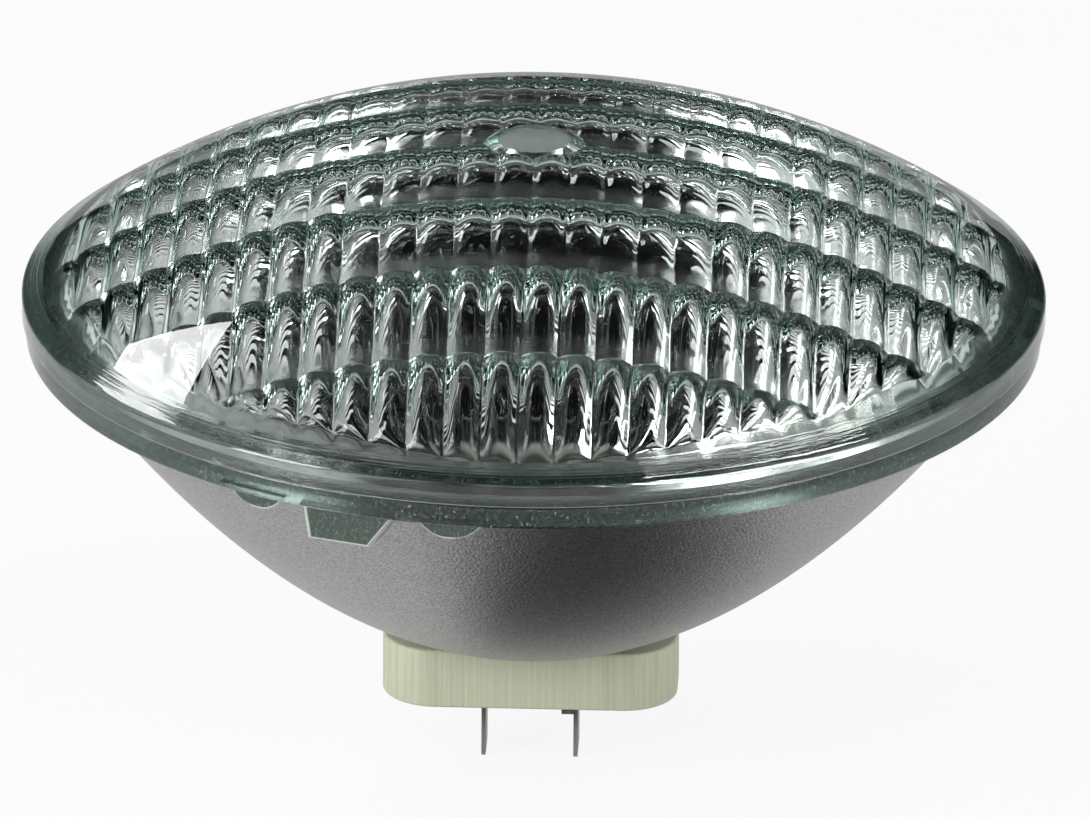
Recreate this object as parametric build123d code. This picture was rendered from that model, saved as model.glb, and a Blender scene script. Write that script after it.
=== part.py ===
"""Sealed-beam reflector lamp of the 56/8 inch size: a fluted glass lens fused to a pressed glass reflector,
with a coiled filament inside and a two-blade ceramic cap behind. Millimetres, +Z along the lamp axis to the lens,
origin in the middle of the cap's rear face, X along the line of the two blades."""

import math
import os

from build123d import *

# Rim
RIM_R = 88.9
RIM_STEP = 0.8
FLANGE_W = 5.65
FLANGE_T = 4.2

# Lens
DOME_R = 148.4
EDGE_T = 4.22
LENS_T = 6.0
ROW_PITCH = 20.0
COLUMN_PITCH = 6.35
ROW_SAG = 2.0
INNER_COLUMN_SAG = 0.6
OUTER_COLUMN_SAG = 1.5
SHALLOW_R = 43.0
SHALLOW_CROWN = (0.5,)
DEEP_CROWN = (0.25, 0.75)
PAD_R = 6.2
PAD_T = 3.0
PAD_SLOPE = 45.0

# Reflector
BOWL_DEPTH = 56.0
BOWL_SINK = 1.5
BOWL_BANDS = 5
BOWL_WALL = 4.0
RIM_WALL = 2.45
MIRROR_BANDS = 4
MIRROR_FLAT_R = 14.0
LUG_SETS = 3
LUG_ANGLE = -20.0
LUG_STAND = 3.05
LUG_H = 5.8
LUG_TOP = (-8.8, 9.8)
LUG_FOOT = (-7.2, 4.1)
PAD_ANGLE = 12.4
SEAT_PAD_STAND = 1.55
SEAT_PAD_ROUND = 6.9
SEAT_PAD_H = 4.2

# Ceramic cap
CAP_X = 51.4
CAP_Y = 25.0
CAP_Z = 10.75
CAP_CORNER = 9.5
POCKET_WALL = 3.0
POCKET_FLOOR = 3.2
POCKET_END = 8.0

# Neck of the reflector in the cap
NECK_GAP = 2.0
NECK_Z = 6.5
CEMENT_GAP = 0.3
CEMENT_LIP = 1.2
CEMENT_DROP = 0.6

# Contact blades
BLADE_SPACING = 16.05
BLADE_T = 0.75
BLADE_W = 9.0
BLADE_OUT = 12.25
BLADE_CHAMFER = 0.6
BLADE_GAP = 0.25
TANG_HALF = 2.0
SHOULDER = 1.1
SHOULDER_H = 1.1
EAR_REACH = 2.1
EAR_W = 3.0
EAR_T = 0.6
EAR_DROP = 3.4

# Seals and mount inside
FERRULE_R = 3.2
FERRULE_STEP = 1.0
FERRULE_GAP = 0.3
ROD_R = 0.9
ROD_GAP = 0.3
TUBE_R = 2.3
TUBE_TIP_GAP = 0.6
BRIDGE_Y = 6.0
BRIDGE_T = 3.0
BRIDGE_DROP = 18.0
BRIDGE_END = 3.0
COIL_R = 0.9
COIL_GAP = 1.2
WIRE_R = 0.35
LEG_RISE = 1.6
FORK_GAP = 0.35

# Heights and radii that follow
FLANGE_R = RIM_R - RIM_STEP
BOWL_R = FLANGE_R - FLANGE_W
BOWL_Z = CAP_Z - BOWL_SINK
BOWL_K = BOWL_DEPTH / BOWL_R**2
BOWL_FOOT_R = math.sqrt(BOWL_SINK / BOWL_K)
RIM_Z = BOWL_Z + BOWL_DEPTH
SEAM_Z = RIM_Z + FLANGE_T
MIRROR_R = BOWL_R - RIM_WALL
MIRROR_Z = BOWL_Z + BOWL_WALL
MIRROR_K = (SEAM_Z - MIRROR_Z) / MIRROR_R**2
FOCUS_Z = MIRROR_Z + 1 / (4 * MIRROR_K)
MIRROR_FLAT_Z = MIRROR_Z + MIRROR_K * MIRROR_FLAT_R**2
DOME_Z = SEAM_Z + EDGE_T - math.sqrt(DOME_R**2 - RIM_R**2)
CROWN_Z = DOME_Z + DOME_R
RIDGE_R = DOME_R - LENS_T
COLUMN_STEP = COLUMN_PITCH / RIDGE_R
COLUMNS_PER_SIDE = math.ceil(math.asin(MIRROR_R / RIDGE_R) / COLUMN_STEP)
ROWS_PER_SIDE = math.ceil(MIRROR_R / ROW_PITCH)
LEAD_X = BLADE_SPACING / 2
POCKET_X = CAP_X - 2 * POCKET_END
POCKET_Y = CAP_Y - 2 * POCKET_WALL
NECK_X = POCKET_X - 2 * NECK_GAP
NECK_Y = POCKET_Y - 2 * NECK_GAP
FERRULE_Z = NECK_Z + FERRULE_STEP
BRIDGE_Z = FOCUS_Z - BRIDGE_DROP


def sphere_z(radius, r):
    """Height on a sphere about the dome's centre, at a distance r from the lamp axis."""
    return DOME_Z + math.sqrt(radius**2 - r**2)


def line(start, end):
    """Straight edge in the XZ plane between two points given by radius and height."""
    return Edge.make_line((start[0], 0, start[1]), (end[0], 0, end[1]))


def turned(edges):
    """Solid turned about the lamp axis from a closed outline in the XZ plane."""
    outline = make_face(Wire(edges))
    return revolve(outline, Axis.Z, 360).solid()


def bar(length, width, bottom, top):
    """Square-cornered bar, long along X, standing between two heights."""
    return Pos(0, 0, (bottom + top) / 2) * Box(length, width, top - bottom)


def post(x, y, radius, bottom, top):
    """Upright round bar."""
    plan = Pos(x, y, bottom) * Circle(radius)
    return extrude(plan, top - bottom)


def flute_crown(column, middle_y):
    """Sag and crown places of one flute: shallow where its middle lies near the lamp axis, deep further out."""
    middle_x = (column + 0.5) * COLUMN_PITCH
    if math.hypot(middle_x, middle_y) < SHALLOW_R:
        return INNER_COLUMN_SAG, SHALLOW_CROWN
    return OUTER_COLUMN_SAG, DEEP_CROWN


def flute_section(y, lift, middle_y):
    """Outline in a plane of constant Y: an arc of flutes, lowered along Y as the dome is, open past the seam."""
    centre_z = DOME_Z + math.sqrt(RIDGE_R**2 - y**2) - RIDGE_R + lift

    def at(column, r):
        angle = column * COLUMN_STEP
        return (r * math.sin(angle), y, centre_z + r * math.cos(angle))

    points = []
    for column in range(-COLUMNS_PER_SIDE, COLUMNS_PER_SIDE):
        sag, crown_places = flute_crown(column, middle_y)
        points.append(at(column, RIDGE_R))
        points += [at(column + place, RIDGE_R + sag) for place in crown_places]
    points.append(at(COLUMNS_PER_SIDE, RIDGE_R))
    end_x = points[-1][0]
    floor_z = points[-1][2] - LENS_T
    points.append((end_x, y, floor_z))
    points.append((-end_x, y, floor_z))
    return Wire.make_polygon([Vector(*p) for p in points], close=True)


def flute_row(number):
    """Hollow of one row of flutes, in two straight lengths that rise to the middle of the row."""
    start = number * ROW_PITCH
    middle_y = start + ROW_PITCH / 2
    places = ((start, 0), (middle_y, ROW_SAG), (start + ROW_PITCH, 0))
    sections = [flute_section(y, lift, middle_y) for y, lift in places]
    return Solid.make_loft(sections, True)


def make_lens():
    """Domed lens, smooth outside, with rows of flutes and a round window pressed into its inner face."""
    ball = Pos(0, 0, DOME_Z) * Rot(0, 90, 0) * Sphere(DOME_R)
    blank = post(0, 0, RIM_R, SEAM_Z, CROWN_Z + LENS_T)
    lens = (blank & ball) - post(0, 0, MIRROR_R, SEAM_Z, sphere_z(RIDGE_R, MIRROR_R))
    border = post(0, 0, MIRROR_R, SEAM_Z, CROWN_Z)
    for number in range(-ROWS_PER_SIDE, ROWS_PER_SIDE):
        lens = lens - (flute_row(number) & border)
    window_top = CROWN_Z - PAD_T
    window_h = 2 * LENS_T
    window_foot = PAD_R + window_h * math.tan(math.radians(PAD_SLOPE))
    window = Pos(0, 0, window_top - window_h / 2) * Cone(window_foot, PAD_R, window_h)
    return (lens - window).solid()


def make_lug(angle):
    """Locating lug with a flat front, a steep side and a slanted side, hung under the flange."""
    top_z = RIM_Z + FLANGE_T / 2
    inner = BOWL_R - FLANGE_T
    outline = Polyline(
        (LUG_TOP[0], top_z),
        (LUG_TOP[0], RIM_Z),
        (LUG_FOOT[0], RIM_Z - LUG_H),
        (LUG_FOOT[1], RIM_Z - LUG_H),
        (LUG_TOP[1], RIM_Z),
        (LUG_TOP[1], top_z),
        close=True,
    )
    front = Plane((0, -inner, 0), x_dir=(1, 0, 0), z_dir=(0, -1, 0)) * make_face(outline)
    return Rot(0, 0, angle) * extrude(front, BOWL_R + LUG_STAND - inner)


def make_seat_pad(angle):
    """Round-bottomed pad with a flat front, hung under the flange."""
    inner = BOWL_R - FLANGE_T
    plane = Plane((0, -inner, 0), x_dir=(1, 0, 0), z_dir=(0, -1, 0))
    disc_z = RIM_Z - SEAT_PAD_H + SEAT_PAD_ROUND
    disc = extrude(plane * Pos(0, disc_z, 0) * Circle(SEAT_PAD_ROUND), BOWL_R + SEAT_PAD_STAND - inner)
    above = RIM_Z + FLANGE_T / 2
    keep = Pos(0, -RIM_R, above - SEAT_PAD_ROUND) * Box(4 * SEAT_PAD_ROUND, RIM_R, 2 * SEAT_PAD_ROUND)
    return Rot(0, 0, angle) * (disc & keep)


def parabola(apex, k, r_from, r_to, bands):
    """Edges of a parabola about the lamp axis, as conical bands of equal width between two radii."""
    radii = [r_from + (r_to - r_from) * i / bands for i in range(bands + 1)]
    points = [(r, apex + k * r**2) for r in radii]
    return [line(a, b) for a, b in zip(points, points[1:])]


def make_reflector():
    """Pressed glass bowl with its sealing flange, locating lugs, seat pads and the neck that sits in the cap."""
    edges = [line((0, MIRROR_FLAT_Z), (MIRROR_FLAT_R, MIRROR_FLAT_Z))]
    edges += parabola(MIRROR_Z, MIRROR_K, MIRROR_FLAT_R, MIRROR_R, MIRROR_BANDS)
    edges += [
        line((MIRROR_R, SEAM_Z), (FLANGE_R, SEAM_Z)),
        line((FLANGE_R, SEAM_Z), (FLANGE_R, RIM_Z)),
        line((FLANGE_R, RIM_Z), (BOWL_R, RIM_Z)),
    ]
    edges += parabola(BOWL_Z, BOWL_K, BOWL_R, BOWL_FOOT_R, BOWL_BANDS)
    edges.append(line((BOWL_FOOT_R, CAP_Z), (0, CAP_Z)))
    edges.append(line((0, CAP_Z), (0, MIRROR_FLAT_Z)))
    bowl = turned(edges)
    for number in range(LUG_SETS):
        middle = LUG_ANGLE + number * 360 / LUG_SETS
        bowl = bowl + make_lug(middle)
        bowl = bowl + make_seat_pad(middle - PAD_ANGLE)
        bowl = bowl + make_seat_pad(middle + PAD_ANGLE)
    bowl = bowl + bar(NECK_X, NECK_Y, NECK_Z, (CAP_Z + MIRROR_FLAT_Z) / 2)
    hole_r = FERRULE_R + FERRULE_GAP
    tang_w = 2 * (TANG_HALF + BLADE_GAP)
    for side in (-1, 1):
        bowl = bowl - post(side * LEAD_X, 0, hole_r, FERRULE_Z, MIRROR_FLAT_Z)
        bowl = bowl - Pos(side * LEAD_X, 0, NECK_Z) * Box(BLADE_T + 2 * BLADE_GAP, tang_w, 2 * FERRULE_STEP)
    return bowl.solid()


def make_cap():
    """Ceramic cap: rounded block on which the bowl stands, with a pocket for the neck and two blade slots."""
    plan = RectangleRounded(CAP_X, CAP_Y, CAP_CORNER)
    block = extrude(plan, CAP_Z)
    block = block - bar(POCKET_X, POCKET_Y, POCKET_FLOOR, RIM_Z)
    slot_t = BLADE_T + 2 * BLADE_GAP
    slot_w = BLADE_W + 2 * BLADE_GAP
    for side in (-1, 1):
        block = block - Pos(side * LEAD_X, 0, POCKET_FLOOR / 2) * Box(slot_t, slot_w, 2 * POCKET_FLOOR)
    return block.solid()


def make_cement():
    """Set cement: a ring with a step on which the neck stands."""
    outer_x = POCKET_X - 2 * CEMENT_GAP
    outer_y = POCKET_Y - 2 * CEMENT_GAP
    ring = bar(outer_x, outer_y, POCKET_FLOOR, BOWL_Z - CEMENT_DROP)
    ring = ring - bar(NECK_X + 2 * CEMENT_GAP, NECK_Y + 2 * CEMENT_GAP, NECK_Z, RIM_Z)
    ring = ring - bar(NECK_X - 2 * CEMENT_LIP, NECK_Y - 2 * CEMENT_LIP, 0, RIM_Z)
    return ring.solid()


def make_blade(side, with_ear):
    """Flat contact blade with chamfered tip, shoulders inside the cap and a tang up to its ferrule."""
    half = BLADE_W / 2
    wide = half + SHOULDER
    top = POCKET_FLOOR + SHOULDER_H
    tang = TANG_HALF
    nose = half - BLADE_CHAMFER
    outline = Polyline(
        (-nose, -BLADE_OUT),
        (nose, -BLADE_OUT),
        (half, BLADE_CHAMFER - BLADE_OUT),
        (half, POCKET_FLOOR),
        (wide, POCKET_FLOOR),
        (wide, top),
        (tang, top),
        (tang, FERRULE_Z),
        (-tang, FERRULE_Z),
        (-tang, top),
        (-wide, top),
        (-wide, POCKET_FLOOR),
        (-half, POCKET_FLOOR),
        (-half, BLADE_CHAMFER - BLADE_OUT),
        close=True,
    )
    plane = Plane((side * LEAD_X - BLADE_T / 2, 0, 0), x_dir=(0, 1, 0), z_dir=(1, 0, 0))
    blade = extrude(plane * make_face(outline), BLADE_T)
    if with_ear:
        middle = side * (LEAD_X - BLADE_T / 2 - EAR_REACH / 2)
        ear = Box(EAR_REACH, EAR_W, EAR_T)
        blade = blade + Pos(middle, (EAR_W - BLADE_W) / 2, -EAR_DROP - EAR_T / 2) * ear
    return blade.solid()


def make_ferrule(side):
    """Metal ferrule sealed on a step in the neck."""
    x = side * LEAD_X
    return post(x, 0, FERRULE_R, FERRULE_Z, MIRROR_FLAT_Z).solid()


def make_rod(side):
    """Lead-in rod from the ferrule up past the filament."""
    return post(side * LEAD_X, 0, ROD_R, MIRROR_FLAT_Z, FOCUS_Z + LEG_RISE).solid()


def make_tube():
    """Exhaust tube drawn off and sealed behind the neck."""
    bottom = POCKET_FLOOR + TUBE_TIP_GAP
    return post(0, 0, TUBE_R, bottom, NECK_Z).solid()


def make_bridge():
    """Insulating bridge that keeps the two rods apart and carries the filament's support wire."""
    block = bar(2 * LEAD_X + 2 * BRIDGE_END, BRIDGE_Y, BRIDGE_Z, BRIDGE_Z + BRIDGE_T)
    for side in (-1, 1):
        block = block - post(side * LEAD_X, 0, ROD_R + ROD_GAP, 0, RIM_Z)
    return block.solid()


def make_filament():
    """Coiled filament as one round bar of the coil's own size, with a straight leg out to each rod."""
    half = LEAD_X - ROD_R - COIL_GAP
    coil = Pos(0, 0, FOCUS_Z) * Rot(0, 90, 0) * Cylinder(COIL_R, 2 * half)
    legs = Pos(0, 0, FOCUS_Z) * Box(2 * (LEAD_X - ROD_R), 2 * WIRE_R, 2 * WIRE_R)
    rods = post(-LEAD_X, 0, ROD_R, 0, RIM_Z) + post(LEAD_X, 0, ROD_R, 0, RIM_Z)
    return ((coil + legs) - rods).solid()


def make_support():
    """Support wire on the bridge, ending in a fork that holds the middle of the filament."""
    wire = 2 * WIRE_R
    inner = COIL_R + FORK_GAP
    stem_top = FOCUS_Z - inner - wire
    stem = bar(wire, wire, BRIDGE_Z + BRIDGE_T, stem_top)
    fork = bar(wire, 2 * (inner + wire), stem_top, FOCUS_Z)
    gap = bar(2 * wire, 2 * inner, stem_top + wire, RIM_Z)
    return (stem + (fork - gap)).solid()


parts = {
    "lens": make_lens(),
    "reflector": make_reflector(),
    "cap": make_cap(),
    "cement": make_cement(),
    "blade_left": make_blade(-1, False),
    "blade_right": make_blade(1, True),
    "ferrule_left": make_ferrule(-1),
    "ferrule_right": make_ferrule(1),
    "rod_left": make_rod(-1),
    "rod_right": make_rod(1),
    "exhaust_tube": make_tube(),
    "bridge": make_bridge(),
    "filament": make_filament(),
    "support_wire": make_support(),
}

os.makedirs("parts", exist_ok=True)
for name, shape in parts.items():
    export_step(shape, f"parts/{name}.step")
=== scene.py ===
"""Looks of the sealed-beam reflector lamp: glass lens, mirrored bowl, ceramic cap, blades and filament."""

import math

import bmesh
import bpy
import numpy as np
from bpy.props import FloatProperty, FloatVectorProperty, IntProperty, PointerProperty
from bpy.types import Operator, Panel, PropertyGroup
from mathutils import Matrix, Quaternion, Vector


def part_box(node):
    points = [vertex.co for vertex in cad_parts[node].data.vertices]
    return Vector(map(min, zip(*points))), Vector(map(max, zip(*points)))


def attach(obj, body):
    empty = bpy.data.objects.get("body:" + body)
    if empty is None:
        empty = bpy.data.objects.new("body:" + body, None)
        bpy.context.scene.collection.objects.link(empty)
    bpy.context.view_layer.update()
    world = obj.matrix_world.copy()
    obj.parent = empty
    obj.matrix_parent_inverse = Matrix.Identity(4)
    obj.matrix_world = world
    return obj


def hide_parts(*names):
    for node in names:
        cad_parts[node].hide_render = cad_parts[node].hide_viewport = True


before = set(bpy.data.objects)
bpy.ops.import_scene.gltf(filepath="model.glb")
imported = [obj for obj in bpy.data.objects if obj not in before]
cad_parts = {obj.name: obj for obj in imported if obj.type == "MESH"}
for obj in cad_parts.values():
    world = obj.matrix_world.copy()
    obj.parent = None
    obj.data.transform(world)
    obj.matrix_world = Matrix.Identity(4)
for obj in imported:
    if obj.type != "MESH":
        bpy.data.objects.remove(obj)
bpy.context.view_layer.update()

bl_info = {
    "name": "Sealed-beam reflector lamp",
    "version": (1, 0, 0),
    "blender": (4, 5, 0),
    "location": "3D View > Sidebar > Lamp",
    "description": "Builds the glass, metal and ceramic pieces of a sealed-beam reflector lamp and its studio",
    "category": "Object",
}

BODY = "root"

# Points closer than the gap become one, and the bowl laps into the lens by the film.
MERGE_GAP = 1e-6
SEAM_FILM = 3e-5

# Edges sharper than these stay creased.
LENS_CREASE = math.radians(42)
BOWL_CREASE = math.radians(35)
LUG_CREASE = math.radians(28)
CAP_CREASE = math.radians(30)
COIL_CREASE = math.radians(40)

# Press rings by the lens edge: share of the rim's radius and depth of each, and their width as such a share.
PRESS_RINGS = ((0.9865, 3e-5), (0.981, 6e-5), (0.976, 4e-5), (0.969, 6e-5), (0.964, 3e-5), (0.959, 4e-5))
RING_WIDTH = 0.0018
RING_START = 0.95

# Points on one flute across its width, closer at the ridges, and on the rows from the middle to the border.
FLUTE_STOPS = (0, 0.02, 0.05, 0.13, 0.24, 0.37, 0.5, 0.63, 0.76, 0.87, 0.95, 0.98)
OUTER_ROW_STOPS = (18, 20, 40)
ROW_STEP_WALL = 1e-5
WINDOW_SEARCH = 0.09
BORDER_STEPS = 60

# Laps, drops and gaps where pieces meet, and small sizes of the cap and the coil.
FOOT_DROP = 0.0003
FLANGE_ROOT = 0.0004
LUG_LAP = 0.0001
LUG_ROOT = 0.004
POCKET_CORNER = 0.001
LEG_START = 0.97
TURN_POINTS = 18
FLOOR_GAP = 0.0002

# Sockets of the colour mix node.
MIX_FACTOR, MIX_FIRST, MIX_SECOND, MIX_RESULT = 0, 6, 7, 2

LENS_LOW, LENS_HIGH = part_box("lens")
REFLECTOR_LOW, REFLECTOR_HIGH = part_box("reflector")
CAP_LOW, CAP_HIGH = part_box("cap")
BLADE_LOW, BLADE_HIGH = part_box("blade_left")
FILAMENT_LOW, FILAMENT_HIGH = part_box("filament")


def length(label, text, default):
    """Property that holds a length in metres."""
    return FloatProperty(name=label, description=text, default=default, unit="LENGTH", precision=5)


def tint(label, text, default):
    """Property that holds a linear colour."""
    return FloatVectorProperty(name=label, description=text, default=default, subtype="COLOR", min=0, max=1)


def turn(label, text, degrees):
    """Property that holds an angle."""
    return FloatProperty(name=label, description=text, default=math.radians(degrees), subtype="ANGLE")


class LampLensSettings(PropertyGroup):
    """Sizes and finish of the glass lens."""

    rim_radius: length("Rim radius", "Outer radius of the lens edge", LENS_HIGH[0])
    seam_height: length("Seam height", "Height of the joint with the reflector", LENS_LOW[2])
    crown_height: length("Crown height", "Height of the dome's top", LENS_HIGH[2])
    dome_radius: length("Dome radius", "Radius of the smooth outer face", 0.1484)
    thickness: length("Thickness", "Glass at the ridges between flutes", 0.006)
    edge_round: length("Edge round", "Round between dome and edge", 0.0012)
    seam_round: length("Seam round", "Round beside the joint", 0.0005)
    field_radius: length("Field radius", "Radius of the fluted field", 0.0798)
    wall_radius: length("Wall radius", "Radius of the open rim below the field", 0.0801)
    row_pitch: length("Row pitch", "Depth of one row of flutes", 0.020)
    row_sag: length("Row sag", "Rise of a flute along its row", 0.0021)
    column_pitch: length("Column pitch", "Width of one flute at the ridges", 0.00635)
    inner_sag: length("Inner sag", "Rise of a flute across its width near the axis", 0.0007)
    outer_sag: length("Outer sag", "Rise of a flute across its width further out", 0.0016)
    shallow_radius: length("Shallow radius", "Radius of the middle in which the flutes are shallow", 0.043)
    ridge_share: FloatProperty(name="Ridge share", description="Ridge's share of a flute's width", default=0.05)
    end_scoop: length("End scoop", "Length over which a flute closes at the border", 0.005)
    window_radius: length("Window radius", "Radius of the flat window in the middle", 0.0062)
    window_glass: length("Window glass", "Glass left at the window", 0.003)
    ior: FloatProperty(name="Refraction", description="Index of refraction of the glass", default=1.474)
    absorbed: tint("Glass tint", "Colour that a long way through the glass leaves", (0.125, 0.625, 0.49))
    density: FloatProperty(name="Tint density", description="Absorption per metre of glass", default=16.0)


class LampReflectorSettings(PropertyGroup):
    """Sizes and finish of the mirrored glass bowl."""

    flange_radius: length("Flange radius", "Outer radius of the flange", REFLECTOR_HIGH[0])
    seam_height: length("Seam height", "Height of the joint with the lens", REFLECTOR_HIGH[2])
    flange_thickness: length("Flange thickness", "Height of the flange band", 0.0042)
    bowl_radius: length("Bowl radius", "Outer radius of the bowl under the flange", 0.08245)
    vertex_height: length("Vertex height", "Height of the outer curve's vertex", 0.00925)
    foot_height: length("Foot height", "Height of the flat on which the bowl stands", CAP_HIGH[2])
    mirror_radius: length("Mirror radius", "Radius of the mirror's mouth", 0.080)
    mirror_vertex: length("Mirror vertex", "Height of the mirror curve's vertex", 0.01325)
    mirror_flat: length("Mirror flat", "Radius of the flat at the mirror's foot", 0.014)
    bare_radius: length("Bare radius", "Radius of the foot that has no mirror coat", 0.020)
    edge_round: length("Edge round", "Round on the flange's edges", 0.0006)
    silver: tint("Silver", "Colour of the mirror coat", (0.86, 0.865, 0.85))
    satin: tint("Satin grey", "Colour of the coat seen through the bowl's glass", (0.36, 0.36, 0.357))
    deep_green: tint("Deep green", "Colour inside the flange's glass", (0.030, 0.052, 0.040))
    # Painted highlight: a pale colour painted along the lower bevels of the lugs and pads, in place of light
    # caught at those edges.
    painted_edge_highlight: tint("Edge pale", "Colour along the lugs' edges", (0.42, 0.46, 0.43))


class LampLugSettings(PropertyGroup):
    """Sizes and places of the locating lugs and seat pads."""

    sets: IntProperty(name="Sets", description="Sets of a lug and two pads round the flange", default=3)
    middle: turn("Middle", "Angle of the first lug from the front", -20.0)
    pad_offset: turn("Pad offset", "Angle from a lug to its pads", 12.4)
    lug_face: length("Lug face", "Distance of a lug's flat front from the axis", 0.0855)
    lug_height: length("Lug height", "Height of a lug below the flange", 0.0066)
    lug_left: length("Lug left", "Left end of a lug at the flange", -0.0081)
    lug_right: length("Lug right", "Right end of a lug at the flange", 0.0092)
    foot_left: length("Foot left", "Left end of a lug's foot", -0.0070)
    foot_right: length("Foot right", "Right end of a lug's foot", 0.0045)
    pad_face: length("Pad face", "Distance of a pad's flat front from the axis", 0.0840)
    pad_height: length("Pad height", "Height of a pad below the flange", 0.0042)
    pad_round: length("Pad round", "Radius of a pad's outline", 0.0069)
    bevel: length("Bevel", "Bevel round the flat fronts", 0.0005)


class LampCapSettings(PropertyGroup):
    """Sizes and finish of the ceramic cap and its blades."""

    width: length("Width", "Size along the line of the blades", CAP_HIGH[0] - CAP_LOW[0])
    depth: length("Depth", "Size across the line of the blades", CAP_HIGH[1] - CAP_LOW[1])
    height: length("Height", "Height of the cap", CAP_HIGH[2])
    corner: length("Corner", "Radius of the upright corners", 0.0095)
    edge_round: length("Edge round", "Round on the upper and lower edges", 0.0006)
    pocket_width: length("Pocket width", "Size of the pocket along the blades' line", 0.0354)
    pocket_depth: length("Pocket depth", "Size of the pocket across that line", 0.019)
    pocket_floor: length("Pocket floor", "Thickness of the floor under the pocket", 0.0032)
    slot_width: length("Slot width", "Length of a blade's slot", 0.0095)
    slot_gap: length("Slot gap", "Width of a blade's slot", 0.00125)
    cream: tint("Cream", "Colour of the ceramic", (0.50, 0.52, 0.38))
    nickel: tint("Nickel", "Colour of the plated blades", (0.30, 0.31, 0.28))


class LampWireSettings(PropertyGroup):
    """Sizes of the coiled filament."""

    wire_radius: length("Wire radius", "Radius of the coiled wire", 0.00016)
    leg_radius: length("Leg radius", "Radius of the straight legs", 0.0003)
    turns: IntProperty(name="Turns", description="Turns of the coil", default=24)
    leg_length: length("Leg length", "Straight wire between coil and rod", 0.0012)
    tungsten: tint("Tungsten", "Colour of the drawn wire", (0.32, 0.32, 0.33))


class LampStageSettings(PropertyGroup):
    """Camera, floor and lamps."""

    azimuth: turn("Azimuth", "Camera's turn round the lamp", 2.0)
    elevation: turn("Elevation", "Camera's height above the horizon", 22.3)
    roll: turn("Roll", "Camera's roll", 0.45)
    distance: length("Distance", "Camera's distance from its target", 6.0)
    focal: FloatProperty(name="Focal length", description="Focal length in millimetres", default=1140.0)
    target_x: length("Target X", "Camera's target beside the axis", 0.0021)
    target_z: length("Target height", "Camera's target on the axis", 0.05165)
    white: tint("White", "Colour of the studio's background", (1.0, 1.0, 1.0))
    fill: FloatProperty(name="Fill", description="Strength of the even light from all round", default=0.3)


def grid_quads(rows, columns, first=0, closed=False):
    """Corner numbers of the quads of a grid of points. A closed grid joins its last column to its first."""
    row = np.arange(rows - 1)[:, None]
    column = np.arange(columns if closed else columns - 1)[None, :]
    after = (column + 1) % columns
    a = first + row * columns + column
    b = first + row * columns + after
    c = first + (row + 1) * columns + after
    d = first + (row + 1) * columns + column
    return np.stack((a, b, c, d), axis=-1).reshape(-1, 4)


def lathe(profile, angles):
    """Points of a profile of (radius, height) turned about the lamp axis, one ring for each profile point."""
    r = profile[:, 0][:, None]
    z = np.repeat(profile[:, 1][:, None], angles.size, axis=1)
    return np.stack((r * np.cos(angles), r * np.sin(angles), z), axis=-1)


def arc(centre, radius, start, end, steps):
    """Points on a circle about centre from one angle to another."""
    a = np.linspace(start, end, steps)
    return np.stack((centre[0] + radius * np.cos(a), centre[1] + radius * np.sin(a)), axis=-1)


def make_piece(name, points, quads, crease, marks=None):
    """Object from arrays of points and quads: doubles merged, normals outwards, smooth up to the crease angle.

    marks maps an attribute's name to one number per point, uv to two, and material to one per quad."""
    marks = marks or {}
    mesh = bpy.data.meshes.new(name)
    mesh.from_pydata(points.reshape(-1, 3).tolist(), [], quads.tolist())
    corners = quads.reshape(-1)
    for label, values in marks.items():
        if label == "material":
            mesh.polygons.foreach_set("material_index", values.astype(np.int32))
        elif label == "uv":
            layer = mesh.uv_layers.new(name="cells")
            layer.data.foreach_set("uv", values[corners].reshape(-1))
        else:
            layer = mesh.attributes.new(label, "FLOAT", "POINT")
            layer.data.foreach_set("value", values.astype(np.float32))
    shape = bmesh.new()
    shape.from_mesh(mesh)
    bmesh.ops.remove_doubles(shape, verts=shape.verts, dist=MERGE_GAP)
    bmesh.ops.recalc_face_normals(shape, faces=shape.faces)
    shape.to_mesh(mesh)
    shape.free()
    mesh.shade_smooth()
    mesh.set_sharp_from_angle(angle=crease)
    piece = bpy.data.objects.new(name, mesh)
    bpy.context.scene.collection.objects.link(piece)
    return piece


def settle(piece, slot, *nodes):
    """Lets a finished piece ride on the lamp and stand for its CAD nodes, which it hides; the slot is not used.
    """
    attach(piece, BODY)
    if nodes:
        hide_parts(*nodes)


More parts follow.
